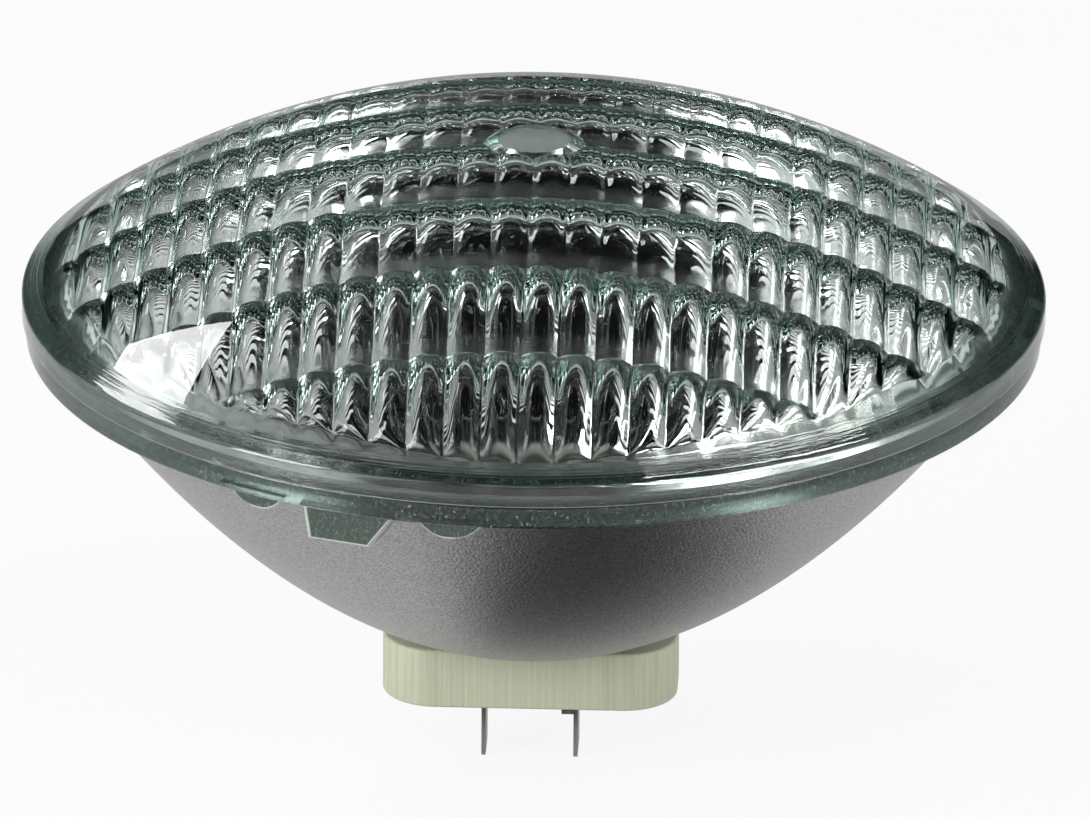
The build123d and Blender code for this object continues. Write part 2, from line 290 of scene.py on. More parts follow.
class Nodes:
    """Short way to lay out one material's nodes."""

    def __init__(self, name):
        self.material = bpy.data.materials.new(name)
        self.material.use_nodes = True
        self.tree = self.material.node_tree
        self.surface = self.tree.nodes["Principled BSDF"]
        self.output = self.tree.nodes["Material Output"]

    def add(self, kind, settings=None, **inputs):
        """New node with its own settings and with constants or sockets on its inputs."""
        node = self.tree.nodes.new(kind)
        for key, value in (settings or {}).items():
            setattr(node, key, value)
        for key, value in inputs.items():
            self.feed(node, key.replace("_", " "), value)
        return node

    def feed(self, node, socket, value):
        """Sets an input to a constant, or links it to another node's socket."""
        target = node.inputs[socket]
        if isinstance(value, bpy.types.NodeSocket):
            self.tree.links.new(value, target)
        else:
            target.default_value = value

    def finish(self, **inputs):
        """Sets the principled shader's inputs."""
        for key, value in inputs.items():
            self.feed(self.surface, key.replace("_", " "), value)

    def place(self, scale):
        """Object coordinates stretched by a scale along each axis."""
        where = self.add("ShaderNodeTexCoord")
        mapped = self.add("ShaderNodeMapping", Vector=where.outputs["Object"])
        mapped.inputs["Scale"].default_value = scale
        return mapped.outputs["Vector"]

    def noise(self, vector, scale, detail=3.0, roughness=0.55):
        """Factor of a noise texture."""
        node = self.add("ShaderNodeTexNoise", Vector=vector, Scale=scale, Detail=detail, Roughness=roughness)
        return node.outputs["Fac"]

    def ramp(self, factor, stops):
        """Colour ramp with (place, colour) stops."""
        node = self.add("ShaderNodeValToRGB", Fac=factor)
        elements = node.color_ramp.elements
        while len(elements) < len(stops):
            elements.new(0.5)
        for element, (place, colour) in zip(elements, stops):
            element.position = place
            element.color = (*colour, 1.0)
        return node.outputs["Color"]

    def spread(self, factor, low, high, start=0.0, end=1.0):
        """Factor from start to end carried to the range from low to high."""
        node = self.add("ShaderNodeMapRange", Value=factor)
        node.inputs["From Min"].default_value = start
        node.inputs["From Max"].default_value = end
        node.inputs["To Min"].default_value = low
        node.inputs["To Max"].default_value = high
        return node.outputs["Result"]

    def blend(self, factor, first, second):
        """Colour between two others."""
        node = self.add("ShaderNodeMix", {"data_type": "RGBA"})
        self.feed(node, MIX_FACTOR, factor)
        self.feed(node, MIX_FIRST, first)
        self.feed(node, MIX_SECOND, second)
        return node.outputs[MIX_RESULT]

    def maths(self, operation, a, b=0.0):
        """One arithmetic step."""
        node = self.add("ShaderNodeMath", {"operation": operation})
        self.feed(node, 0, a)
        self.feed(node, 1, b)
        return node.outputs[0]

    def bump(self, height, strength, distance, under=None):
        """Bump normal from a height, over another normal if one is given."""
        node = self.add("ShaderNodeBump", Height=height, Strength=strength, Distance=distance)
        if under is not None:
            self.feed(node, "Normal", under)
        return node.outputs["Normal"]


def shades(colour, low, high):
    """A colour made darker and lighter."""
    dark = tuple(min(1.0, c * low) for c in colour)
    light = tuple(min(1.0, c * high) for c in colour)
    return dark, light


def lens_glass(s):
    """Clear green-tinted glass with less polish at the flutes' steep ends."""
    n = Nodes("lens_glass")
    cells = n.add("ShaderNodeUVMap", {"uv_map": "cells"}).outputs["UV"]
    parts = n.add("ShaderNodeSeparateXYZ", Vector=cells)
    fluted = n.add("ShaderNodeAttribute", {"attribute_name": "fluted"}).outputs["Fac"]
    ends = n.maths("ABSOLUTE", n.maths("SUBTRACT", n.maths("FRACT", parts.outputs["Y"]), 0.5))
    rough = n.maths("MULTIPLY", n.spread(ends, 0.0, 0.2, 0.28, 0.42), fluted)
    n.finish(Base_Color=(1, 1, 1, 1), Roughness=rough, IOR=s.ior, Transmission_Weight=1.0)
    body = n.add("ShaderNodeVolumeAbsorption", Color=(*s.absorbed, 1.0), Density=s.density)
    n.feed(n.output, "Volume", body.outputs["Volume"])
    return n.material


def mirror_silver(s):
    """Vapour-deposited mirror: bright metal, slightly uneven in colour and surface."""
    n = Nodes("mirror_silver")
    where = n.place((1, 1, 1))
    cloud = n.noise(where, 25.0, 0.0)
    dark, light = shades(s.silver, 0.93, 1.03)
    colour = n.ramp(cloud, ((0.3, dark), (0.7, light)))
    normal = n.bump(n.noise(where, 70.0, 0.0), 0.04, 0.001)
    n.finish(Base_Color=colour, Metallic=1.0, Roughness=0.0, Normal=normal)
    return n.material


def bowl_satin(s):
    """Stippled glass over the mirror's back: satin grey metal with a fine sparkling grain."""
    n = Nodes("bowl_satin")
    where = n.place((1, 1, 1))
    grain = n.noise(where, 2100.0, 2.0, 0.7)
    cloud = n.noise(where, 30.0)
    dark, light = shades(s.satin, 0.65, 1.3)
    colour = n.ramp(grain, ((0.35, dark), (0.65, light)))
    normal = n.bump(grain, 0.6, 0.0003)
    n.finish(Base_Color=colour, Metallic=0.95, Roughness=n.spread(cloud, 0.30, 0.40), Normal=normal)
    return n.material


def speck_height(n):
    """Fine specks that the mould leaves on the flange's glass."""
    return n.noise(n.place((2300, 2300, 1500)), 1.0, 2.0, 0.7)


def lug_glass(s):
    """Thick glass of lugs, pads and bare foot: deep green with specks, and a painted highlight, pale, along the
    lower bevels of lugs and pads.
    """
    n = Nodes("lug_glass")
    specks = speck_height(n)
    dark, light = shades(s.deep_green, 0.6, 3.0)
    colour = n.ramp(specks, ((0.35, dark), (0.55, s.deep_green), (0.72, light)))
    # Painted highlight: the pale colour is blended in along the lower bevels where the edge mark is set.
    edge = n.add("ShaderNodeAttribute", {"attribute_name": "edge"}).outputs["Fac"]
    colour = n.blend(n.spread(edge, 0.0, 1.0, 0.94, 0.98), colour, (*s.painted_edge_highlight, 1.0))
    normal = n.bump(specks, 0.15, 0.0002)
    n.finish(
        Base_Color=colour,
        Roughness=0.22,
        IOR=glass_refraction(),
        Coat_Weight=0.8,
        Coat_Roughness=0.06,
        Normal=normal,
    )
    return n.material


def flange_glass():
    """Green glass of the flange: the lens's glass with a skin of fine pale specks."""
    n = Nodes("flange_glass")
    lens = bpy.context.scene.lamp_lens
    specks = speck_height(n)
    normal = n.bump(specks, 0.3, 0.0002)
    clear = n.spread(specks, 1.0, 0.75, 0.61, 0.69)
    n.finish(Base_Color=(1, 1, 1, 1), Roughness=0.0, IOR=lens.ior, Transmission_Weight=clear, Normal=normal)
    body = n.add("ShaderNodeVolumeAbsorption", Color=(*lens.absorbed, 1.0), Density=3 * lens.density)
    n.feed(n.output, "Volume", body.outputs["Volume"])
    return n.material


def glass_refraction():
    """Refraction of the lens glass, which the other glass pieces share."""
    return bpy.context.scene.lamp_lens.ior


def cap_ceramic(s):
    """Pressed ceramic: cream with faint upright streaks and pores."""
    n = Nodes("cap_ceramic")
    streak = n.noise(n.place((1700, 1700, 35)), 1.0, 4.0, 0.65)
    pores = n.noise(n.place((1, 1, 1)), 1800.0, 2.0)
    dark, light = shades(s.cream, 0.86, 1.1)
    colour = n.ramp(streak, ((0.3, dark), (0.7, light)))
    normal = n.bump(streak, 0.2, 0.0002, n.bump(pores, 0.15, 0.0001))
    n.finish(Base_Color=colour, Roughness=n.spread(pores, 0.45, 0.65), Normal=normal)
    return n.material


def metal(name, colour, rough, stretch):
    """Drawn or rolled metal with fine lines along its length."""
    n = Nodes(name)
    lines = n.noise(n.place(stretch), 1.0, 4.0, 0.6)
    dark, light = shades(colour, 0.75, 1.2)
    ink = n.ramp(lines, ((0.3, dark), (0.7, light)))
    normal = n.bump(lines, 0.15, 0.0001)
    n.finish(Base_Color=ink, Metallic=1.0, Roughness=n.spread(lines, rough * 0.8, rough * 1.25), Normal=normal)
    return n.material


def fired_white(name, colour):
    """Matt fired body of the bridge and the set cement."""
    n = Nodes(name)
    where = n.place((1, 1, 1))
    cloud = n.noise(where, 700.0, 4.0)
    dark, light = shades(colour, 0.82, 1.08)
    n.finish(
        Base_Color=n.ramp(cloud, ((0.3, dark), (0.7, light))),
        Roughness=n.spread(cloud, 0.6, 0.85),
        Normal=n.bump(cloud, 0.3, 0.0002),
    )
    return n.material


def tube_glass():
    """Clear drawn glass of the exhaust tube with faint waves."""
    n = Nodes("tube_glass")
    wave = n.noise(n.place((1, 1, 0.2)), 400.0, 2.0)
    colour = n.ramp(wave, ((0.3, (0.86, 0.94, 0.90)), (0.7, (0.95, 1.0, 0.98))))
    normal = n.bump(wave, 0.1, 0.0002)
    n.finish(Base_Color=colour, Roughness=0.02, IOR=glass_refraction(), Transmission_Weight=1.0, Normal=normal)
    return n.material


def arc_rise(position, sag):
    """Rise of a shallow arc over each whole cell: sag in the middle and none at both ends."""
    t = position - np.floor(position)
    return 4 * sag * t * (1 - t)


def ridged_rise(position, sag, share):
    """Rise of a shallow arc over each whole cell, with both ends rounded over a share of the cell."""
    t = position - np.floor(position)
    from_end = np.minimum(t, 1 - t)
    round_end = 2 * sag * (1 - 2 * share) / share * from_end**2
    return np.where(from_end < share, round_end, arc_rise(position, sag) - 2 * sag * share)


def column_reach(s, y, angle):
    """Radius of a row's section: the ridges' radius plus an arc over each column.

    The arc is shallow in the cells whose middles lie near the lamp axis, deep further out, and closed by a
    round scoop at the border."""
    ridge = s.dome_radius - s.thickness
    column = np.abs(angle) * ridge / s.column_pitch
    from_border = s.field_radius - np.hypot(ridge * np.sin(angle), y)
    closing = np.clip(1 - from_border / s.end_scoop, 0, 1)
    cell_x = (np.floor(column) + 0.5) * s.column_pitch
    cell_y = (np.floor(np.abs(y) / s.row_pitch) + 0.5) * s.row_pitch
    sag = np.where(np.hypot(cell_x, cell_y) < s.shallow_radius, s.inner_sag, s.outer_sag)
    return ridge + ridged_rise(column, sag, s.ridge_share) * np.sqrt(1 - closing**2)


def flute_point(s, y, angle):
    """X and Z on the lens's inner face: a section lowered along y as the dome is, raised over each row."""
    ridge = s.dome_radius - s.thickness
    reach = column_reach(s, y, angle)
    centre_z = s.crown_height - s.dome_radius
    lowered = np.sqrt(ridge**2 - y**2) - ridge + arc_rise(y / s.row_pitch, s.row_sag)
    return reach * np.sin(angle), centre_z + lowered + reach * np.cos(angle)


def window_edge(s, y):
    """Angle at each y where the window's 45 degree wall comes out of the flutes, or none past its ends.

    The wall's radius grows from the flat's radius by as much as the flute lies below the flat."""
    angle = np.linspace(0, WINDOW_SEARCH, 900)[None, :]
    x, z = flute_point(s, y[:, None], angle)
    below = s.crown_height - s.window_glass - z
    inside = np.hypot(x, y[:, None]) < s.window_radius + below
    first_out = np.argmin(inside, axis=1)
    return angle[0, first_out]


def border_angle(s, y):
    """Angle at each y where the flutes meet the border circle, by steps towards the fixed point."""
    half_width = np.sqrt(np.maximum(s.field_radius**2 - y**2, 0))
    angle = np.zeros_like(y)
    for step in range(BORDER_STEPS):
        angle = np.arcsin(half_width / column_reach(s, y, angle))
    return angle


def flute_stations(s):
    """Y places of the fluted field's rows of points, dense at the window and evenly spread round the border."""
    fine = np.linspace(0, 2 * s.window_radius, 800)
    window_end = fine[np.count_nonzero(window_edge(s, fine) > 0)]
    rows = [window_end * np.sin(np.linspace(0, math.pi / 2, 16)), np.linspace(window_end, s.row_pitch, 12)[1:]]
    bounds = np.append(np.arange(s.row_pitch, s.field_radius, s.row_pitch), s.field_radius)
    for low, high, count in zip(bounds, bounds[1:], OUTER_ROW_STOPS):
        round_border = np.linspace(math.asin(low / s.field_radius), math.asin(high / s.field_radius), count)
        stations = s.field_radius * np.sin(round_border)
        stations[0] = low + ROW_STEP_WALL
        rows[-1][-1] = low - ROW_STEP_WALL
        rows.append(stations)
    half = np.concatenate(rows)
    half[-1] = s.field_radius
    return np.concatenate((-half[:0:-1], half)), window_end


def both_sides(right):
    """Closed loop from the right-hand points, bottom to top, and their mirror images, top to bottom."""
    left = right[-2:0:-1] * np.array((-1.0, 1.0, 1.0))
    return np.concatenate((right, left))


def lens_outline(s, centre_z):
    """Outer profile from the open rim over the edge and the dome to the crown, with press rings by the edge."""
    foot = (s.wall_radius, s.wall_radius + s.seam_round, s.rim_radius - s.seam_round)
    edge = np.column_stack((foot, np.full(3, s.seam_height)))
    low = arc((s.rim_radius - s.seam_round, s.seam_height + s.seam_round), s.seam_round, -math.pi / 2, 0, 6)
    inner_r = s.rim_radius - s.edge_round
    round_z = centre_z + math.sqrt((s.dome_radius - s.edge_round) ** 2 - inner_r**2)
    lean = math.atan2(round_z - centre_z, inner_r)
    high = arc((inner_r, round_z), s.edge_round, 0, lean, 8)
    start_r = s.dome_radius * math.cos(lean)
    ringed = np.linspace(start_r, RING_START * start_r, 40)[1:]
    r = np.concatenate((ringed, np.linspace(RING_START * start_r, 0, 56)[1:]))
    z = centre_z + np.sqrt(s.dome_radius**2 - r**2)
    for share, depth in PRESS_RINGS:
        z -= depth * np.exp(-(((r / s.rim_radius - share) / RING_WIDTH) ** 2))
    return np.concatenate((edge, low[1:], high, np.stack((r, z), axis=-1)))


def build_lens(s):
    """Closed glass lens: fluted field in two halves, round window, border wall, edge and smooth dome."""
    centre_z = s.crown_height - s.dome_radius
    y, window_end = flute_stations(s)
    step = s.column_pitch / (s.dome_radius - s.thickness)
    border = border_angle(s, y)
    window = np.where(np.abs(y) < window_end, window_edge(s, y), 0)
    columns = math.ceil(border.max() / step)
    lines = np.append((np.arange(columns)[:, None] + np.array(FLUTE_STOPS)).reshape(-1), columns) * step
    angle = np.clip(lines[None, :], window[:, None], border[:, None])
    across = np.broadcast_to(y[:, None], angle.shape)
    x, z = flute_point(s, across, angle)
    right = np.stack((x, across, z), axis=-1)
    cells = np.stack((angle / step, across / s.row_pitch), axis=-1).reshape(-1, 2)

    rim = both_sides(right[:, -1])
    round_rim = np.arctan2(rim[:, 1], rim[:, 0])
    outside = np.concatenate((rim[None], lathe(lens_outline(s, centre_z), round_rim)))
    hole = both_sides(right[np.abs(y) <= window_end, 0])
    round_hole = np.arctan2(hole[:, 1], hole[:, 0])
    flat = s.crown_height - s.window_glass
    disc = lathe(np.array(((s.window_radius, flat), (s.window_radius / 2, flat), (0, flat))), round_hole)
    inside = np.concatenate((hole[None], disc))

    grids = ((right, False), (right * np.array((-1.0, 1.0, 1.0)), False), (outside, True), (inside, True))
    quads = []
    first = 0
    for points, closed in grids:
        quads.append(grid_quads(points.shape[0], points.shape[1], first, closed))
        first += points.shape[0] * points.shape[1]
    points = np.concatenate([g.reshape(-1, 3) for g, closed in grids])
    halves = 2 * cells.shape[0]
    wall = 2 * len(rim)
    window_points = inside.shape[0] * inside.shape[1]
    plain = np.zeros((first - halves, 2))
    fluted = np.zeros(first)
    fluted[:halves + wall] = 1
    fluted[-window_points:] = 1
    marks = {"uv": np.concatenate((cells, cells, plain)), "fluted": fluted}
    lens = make_piece("fluted_lens", points, np.concatenate(quads), LENS_CREASE, marks)
    lens.data.materials.append(lens_glass(s))
    settle(lens, "lens_glass", "lens")


def bowl_outline(s):
    """Profile of the bowl with the number of each stretch's material: mirror 0, satin back 1, bare glass 2."""
    rise = (s.seam_height - s.mirror_vertex) / s.mirror_radius**2
    top_z = s.seam_height + SEAM_FILM
    r = np.linspace(s.mirror_flat, s.mirror_radius, 48)
    mirror = np.stack((r, np.minimum(s.mirror_vertex + rise * r**2, top_z)), axis=-1)
    bare = np.count_nonzero(r < s.bare_radius)
    foot = np.array(((0, mirror[0, 1] - FOOT_DROP), (s.mirror_flat, mirror[0, 1] - FOOT_DROP)))
    low_z = s.seam_height - s.flange_thickness
    curve = (low_z - s.vertex_height) / s.bowl_radius**2
    foot_r = math.sqrt((s.foot_height - s.vertex_height) / curve)
    r = np.linspace(s.bowl_radius, foot_r, 60)
    back = np.stack((r, s.vertex_height + curve * r**2), axis=-1)
    edge = np.array(((s.bowl_radius, top_z),))
    middle = np.array(((0, s.foot_height),))
    stretches = ((foot, 2), (mirror[:bare], 2), (mirror[bare:], 0), (edge, 2), (back[:1], 2), (back[1:], 1),
                 (middle, 1))
    profile = np.concatenate([stretch for stretch, kind in stretches])
    kinds = np.concatenate([np.full(len(stretch), kind) for stretch, kind in stretches])
    return profile, kinds[1:]


def ring_outline(s):
    """Closed profile of the flange: a band with rounded outer edges, its root inside the bowl's wall."""
    top_z = s.seam_height + SEAM_FILM
    low_z = s.seam_height - s.flange_thickness
    root_r = s.bowl_radius - FLANGE_ROOT
    inner_r = s.flange_radius - s.edge_round
    top = arc((inner_r, top_z - s.edge_round), s.edge_round, math.pi / 2, 0, 6)
    bottom = arc((inner_r, low_z + s.edge_round), s.edge_round, 0, -math.pi / 2, 6)
    root = np.array(((root_r, low_z), (root_r, top_z)))
    return np.concatenate((top, bottom, root, top[:1]))


def build_reflector(s):
    """Closed bowl turned about the lamp axis, mirror inside and satin outside, and its glass flange."""
    sectors = 320
    angles = np.linspace(0, 2 * math.pi, sectors, endpoint=False)
    profile, kinds = bowl_outline(s)
    quads = grid_quads(len(profile), sectors, 0, True)
    marks = {"material": np.repeat(kinds, sectors)}
    bowl = make_piece("mirror_bowl", lathe(profile, angles), quads, BOWL_CREASE, marks)
    bowl.data.materials.append(mirror_silver(s))
    bowl.data.materials.append(bowl_satin(s))
    bowl.data.materials.append(lug_glass(s))
    settle(bowl, "mirror_bowl", "reflector")
    profile = ring_outline(s)
    quads = grid_quads(len(profile), sectors, 0, True)
    flange = make_piece("glass_flange", lathe(profile, angles), quads, BOWL_CREASE)
    flange.data.materials.append(flange_glass())
    settle(flange, "mirror_bowl", "reflector")


def plate_points(outline, root, face, bevel, angle):
    """Rings of a flat-fronted block: its outline at the root, at the bevel's start and, drawn in, at the front.

    An outline point (across, height) stands at a depth from the axis in the direction of the angle."""
    middle = outline.mean(axis=0)
    reach = np.linalg.norm(outline - middle, axis=1, keepdims=True)
    drawn = middle + (outline - middle) * (1 - bevel / reach)
    centre = np.broadcast_to(middle, outline.shape)
    rings = ((outline, root), (outline, face - bevel), (drawn, face), (centre, face))
    out = np.array((math.sin(angle), -math.cos(angle)))
    side = np.array((math.cos(angle), math.sin(angle)))
    points = [np.column_stack((depth * out + ring[:, :1] * side, ring[:, 1])) for ring, depth in rings]
    return np.stack(points)


def lug_outline(s, top_z, under_z):
    """Lug from the front: a steep left side, a flat foot and a slanted right side."""
    foot = under_z - s.lug_height
    across = (s.lug_left, s.lug_left, s.foot_left, s.foot_right, s.lug_right, s.lug_right)
    return np.column_stack((across, (top_z, under_z, foot, foot, under_z, top_z)))


def pad_outline(s, top_z, under_z):
    """Pad from the front: the lower segment of a circle, closed by a line inside the flange."""
    centre_z = under_z - s.pad_height + s.pad_round
    reach = math.acos((centre_z - top_z) / s.pad_round)
    return arc((0, centre_z), s.pad_round, -math.pi / 2 - reach, -math.pi / 2 + reach, 24)


def build_lugs(s, bowl):
    """Sets of one lug and two pads under the flange."""
    under_z = bowl.seam_height - bowl.flange_thickness
    top_z = under_z + LUG_LAP
    root = bowl.bowl_radius - LUG_ROOT
    points = []
    quads = []
    highlight_edges = []
    first = 0
    for number in range(s.sets):
        middle = s.middle + number * 2 * math.pi / s.sets
        kinds = (
            (lug_outline(s, top_z, under_z), s.lug_face, 0),
            (pad_outline(s, top_z, under_z), s.pad_face, -s.pad_offset),
            (pad_outline(s, top_z, under_z), s.pad_face, s.pad_offset),
        )
        for outline, face, offset in kinds:
            rings = plate_points(outline, root, face, s.bevel, middle + offset)
            quads.append(grid_quads(len(rings), len(outline), first, True))
            points.append(rings.reshape(-1, 3))
            # Edge mark for the painted highlight: the lower outline points on the bevel's two rings.
            highlight_edges.append(np.outer((0, 1, 1, 0), outline[:, 1] < (under_z + top_z) / 2).reshape(-1))
            first += points[-1].shape[0]
    marks = {"edge": np.concatenate(highlight_edges)}
    lugs = make_piece("locating_lugs", np.concatenate(points), np.concatenate(quads), LUG_CREASE, marks)
    lugs.data.materials.append(lug_glass(bpy.context.scene.lamp_reflector))
    settle(lugs, "mirror_bowl", "reflector")


def rounded_rectangle(width, depth, corner, steps):
    """Closed outline of a rectangle with round corners: each corner's quarter circle in turn."""
    quarter = np.linspace(0, math.pi / 2, steps)
    turns = np.arange(4)[:, None] * math.pi / 2 + quarter
    centre_x = (width / 2 - corner) * np.array((1, -1, -1, 1))[:, None]
    centre_y = (depth / 2 - corner) * np.array((1, 1, -1, -1))[:, None]
    x = centre_x + corner * np.cos(turns)
    y = centre_y + corner * np.sin(turns)
    return np.stack((x.reshape(-1), y.reshape(-1)), axis=-1)


def build_cap(s):
    """Ceramic block from rings of its rounded outline, drawn in at the edges, with pocket and blade slots."""
    steps = 24
    edge = s.edge_round
    lower = arc((edge, edge), edge, -math.pi / 2, -math.pi, 6)
    upper = arc((edge, s.height - edge), edge, math.pi, math.pi / 2, 6)
    rings = []
    for inset, z in np.concatenate((lower, upper)):
        plan = rounded_rectangle(s.width - 2 * inset, s.depth - 2 * inset, s.corner - inset, steps)
        rings.append(np.column_stack((plan, np.full(len(plan), z))))
    pocket = rounded_rectangle(s.pocket_width, s.pocket_depth, POCKET_CORNER, steps)
    rings.append(np.column_stack((pocket, np.full(len(pocket), s.height))))
    rings.append(np.column_stack((pocket, np.full(len(pocket), s.pocket_floor))))
    rings.append(np.column_stack((pocket * 0, np.full(len(pocket), s.pocket_floor))))
    rings.insert(0, rings[0] * np.array((0, 0, 1)))
    points = np.stack(rings)
    quads = grid_quads(points.shape[0], points.shape[1], 0, True)
    cap = make_piece("ceramic_cap", points, quads, CAP_CREASE)
    cut_slots(cap, s)
    cap.data.materials.append(cap_ceramic(s))
    settle(cap, "ceramic", "cap")


def cut_slots(cap, s):
    """Cuts the two blade slots through the cap's floor."""
    blade_x = abs(BLADE_LOW[0] + BLADE_HIGH[0]) / 2
    corner = np.array(((-1, -1), (1, -1), (1, 1), (-1, 1))) * np.array((s.slot_gap, s.slot_width)) / 2
    for side in (-1, 1):
        plan = corner + np.array((side * blade_x, 0))
        heights = (-s.pocket_floor, 2 * s.pocket_floor)
        walls = [np.column_stack((plan, np.full(4, z))) for z in heights]
        middles = [np.broadcast_to(wall.mean(axis=0), wall.shape) for wall in walls]
        points = np.stack((middles[0], walls[0], walls[1], middles[1]))
        cutter = make_piece("slot_cutter", points, grid_quads(4, 4, 0, True), CAP_CREASE)
        hollow = cap.modifiers.new("slot", "BOOLEAN")
        hollow.operation = "DIFFERENCE"
        hollow.solver = "EXACT"
        hollow.object = cutter
        shown = cap.evaluated_get(bpy.context.evaluated_depsgraph_get())
        cut = bpy.data.meshes.new_from_object(shown)
        cap.modifiers.clear()
        cap.data = cut
        bpy.data.objects.remove(cutter)


def tube_along(path, radius, sides):
    """Rings of a round tube along a path: each ring lies across the path's direction there."""
    along = np.gradient(path, axis=0)
    along /= np.linalg.norm(along, axis=1, keepdims=True)
    up = np.array((0.0, 0.31, 0.95))
    first = np.cross(along, up)
    first /= np.linalg.norm(first, axis=1, keepdims=True)
    second = np.cross(along, first)
    a = np.linspace(0, 2 * math.pi, sides, endpoint=False)[None, :, None]
    ring = path[:, None] + radius * (np.cos(a) * first[:, None] + np.sin(a) * second[:, None])
    ends = np.repeat(path[[0, -1], None], sides, axis=1)
    return np.concatenate((ends[:1], ring, ends[1:]))


def build_filament(s):
    """Coil as a tube along a helix about the level line between the rods, with a straight leg at each end."""
    middle_z = (FILAMENT_LOW[2] + FILAMENT_HIGH[2]) / 2
    coil_r = (FILAMENT_HIGH[2] - FILAMENT_LOW[2]) / 2 - s.wire_radius
    end_x = FILAMENT_HIGH[0]
    half = end_x - s.leg_length
    t = np.linspace(-1, 1, s.turns * TURN_POINTS + 1)
    winding = math.pi * s.turns * t
    helix = np.column_stack((half * t, coil_r * np.sin(winding), middle_z + coil_r * np.cos(winding)))
    tubes = [tube_along(helix, s.wire_radius, 8)]
    for side in (-1, 1):
        leg_x = np.linspace(side * half * LEG_START, side * end_x, 6)
        leg = np.column_stack((leg_x, np.zeros(6), np.full(6, middle_z)))
        tubes.append(tube_along(leg, s.leg_radius, 10))
    points = []
    quads = []
    first = 0
    for tube in tubes:
        quads.append(grid_quads(tube.shape[0], tube.shape[1], first, True))
        points.append(tube.reshape(-1, 3))
        first += points[-1].shape[0]
    coil = make_piece("filament_coil", np.concatenate(points), np.concatenate(quads), COIL_CREASE)
    coil.data.materials.append(metal("tungsten_wire", s.tungsten, 0.4, (300, 3000, 3000)))
    settle(coil, "tungsten", "filament")


def dress_nodes():
    """Finishes of the pieces that keep their CAD shape."""
    cap = bpy.context.scene.lamp_cap
    blade = metal("contact_nickel", cap.nickel, 0.32, (800, 800, 60))
    lead = metal("lead_wire", (0.42, 0.42, 0.42), 0.3, (2500, 2500, 80))
    seal = metal("seal_alloy", (0.45, 0.44, 0.42), 0.35, (900, 900, 300))
    finishes = {
        "blade_left": blade,
        "blade_right": blade,
        "ferrule_left": seal,
        "ferrule_right": seal,
        "rod_left": lead,
        "rod_right": lead,
        "support_wire": lead,
        "bridge": fired_white("bridge_body", (0.72, 0.70, 0.64)),
        "cement": fired_white("cement_body", (0.50, 0.47, 0.40)),
        "exhaust_tube": tube_glass(),
    }
    for node, material in finishes.items():
        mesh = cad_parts[node].data
        mesh.materials.clear()
        mesh.materials.append(material)


def ray_switch(tree, camera, glossy, transmission):
    """Socket with the largest share among the rays that show a background, and 0 for rays that only light."""
    path = tree.nodes.new("ShaderNodeLightPath")
    total = None
    for kind, share in (("Camera", camera), ("Glossy", glossy), ("Transmission", transmission)):
        part = tree.nodes.new("ShaderNodeMath")
        part.operation = "MULTIPLY"
        tree.links.new(path.outputs["Is " + kind + " Ray"], part.inputs[0])
        part.inputs[1].default_value = share
        if total is not None:
            larger = tree.nodes.new("ShaderNodeMath")
            larger.operation = "MAXIMUM"
            tree.links.new(total, larger.inputs[0])
            tree.links.new(part.outputs[0], larger.inputs[1])
            part = larger
        total = part.outputs[0]
    return total


def light_world(s):
    """World that is white where it is seen and a soft even fill where it lights."""
    world = bpy.data.worlds.new("studio")
    world.use_nodes = True
    tree = world.node_tree
    fill = tree.nodes["Background"]
    fill.inputs["Color"].default_value = (*s.white, 1)
    fill.inputs["Strength"].default_value = s.fill
    seen = tree.nodes.new("ShaderNodeBackground")
    seen.inputs["Color"].default_value = (*s.white, 1)
    mix = tree.nodes.new("ShaderNodeMixShader")
    tree.links.new(ray_switch(tree, 1.0, 1.0, 1.0), mix.inputs["Fac"])
    tree.links.new(fill.outputs[0], mix.inputs[1])
    tree.links.new(seen.outputs[0], mix.inputs[2])
    tree.links.new(mix.outputs[0], tree.nodes["World Output"].inputs["Surface"])
    bpy.context.scene.world = world


def floor_paint(s):
    """Pale floor, nearly white where it is seen, that keeps a soft shadow."""
    n = Nodes("pale_floor")
    speck = n.noise(n.place((1, 1, 1)), 300.0)
    n.finish(Base_Color=n.ramp(speck, ((0.3, (0.78, 0.78, 0.78)), (0.7, (0.82, 0.82, 0.82)))), Roughness=0.9)
    glow = n.add("ShaderNodeEmission", Color=(*s.white, 1), Strength=1.0)
    mix = n.add("ShaderNodeMixShader")
    n.tree.links.new(ray_switch(n.tree, 0.9, 0.4, 0.4), mix.inputs["Fac"])
    n.tree.links.new(n.surface.outputs[0], mix.inputs[1])
    n.tree.links.new(glow.outputs[0], mix.inputs[2])
    n.tree.links.new(mix.outputs[0], n.output.inputs["Surface"])
    return n.material


def card_paint(name, shade):
    """Card that keeps one even shade, whatever light falls on it."""
    n = Nodes(name)
    cloud = n.noise(n.place((1, 1, 1)), 8.0)
    dark, light = shades((shade, shade, shade), 0.9, 1.1)
    glow = n.add("ShaderNodeEmission", Color=n.ramp(cloud, ((0.3, dark), (0.7, light))), Strength=1.0)
    n.tree.links.new(glow.outputs[0], n.output.inputs["Surface"])
    return n.material


def sheet_on_stage(name, centre, across, up, material):
    """Flat stage sheet about a centre, spanned by its two half sides."""
    centre = np.array(centre)
    across = np.array(across)
    up = np.array(up)
    t = np.linspace(-1, 1, 5)
    points = centre + t[:, None, None] * up + t[None, :, None] * across
    sheet = make_piece(name, points, grid_quads(len(t), len(t)), CAP_CREASE)
    sheet.data.materials.append(material)
    return sheet


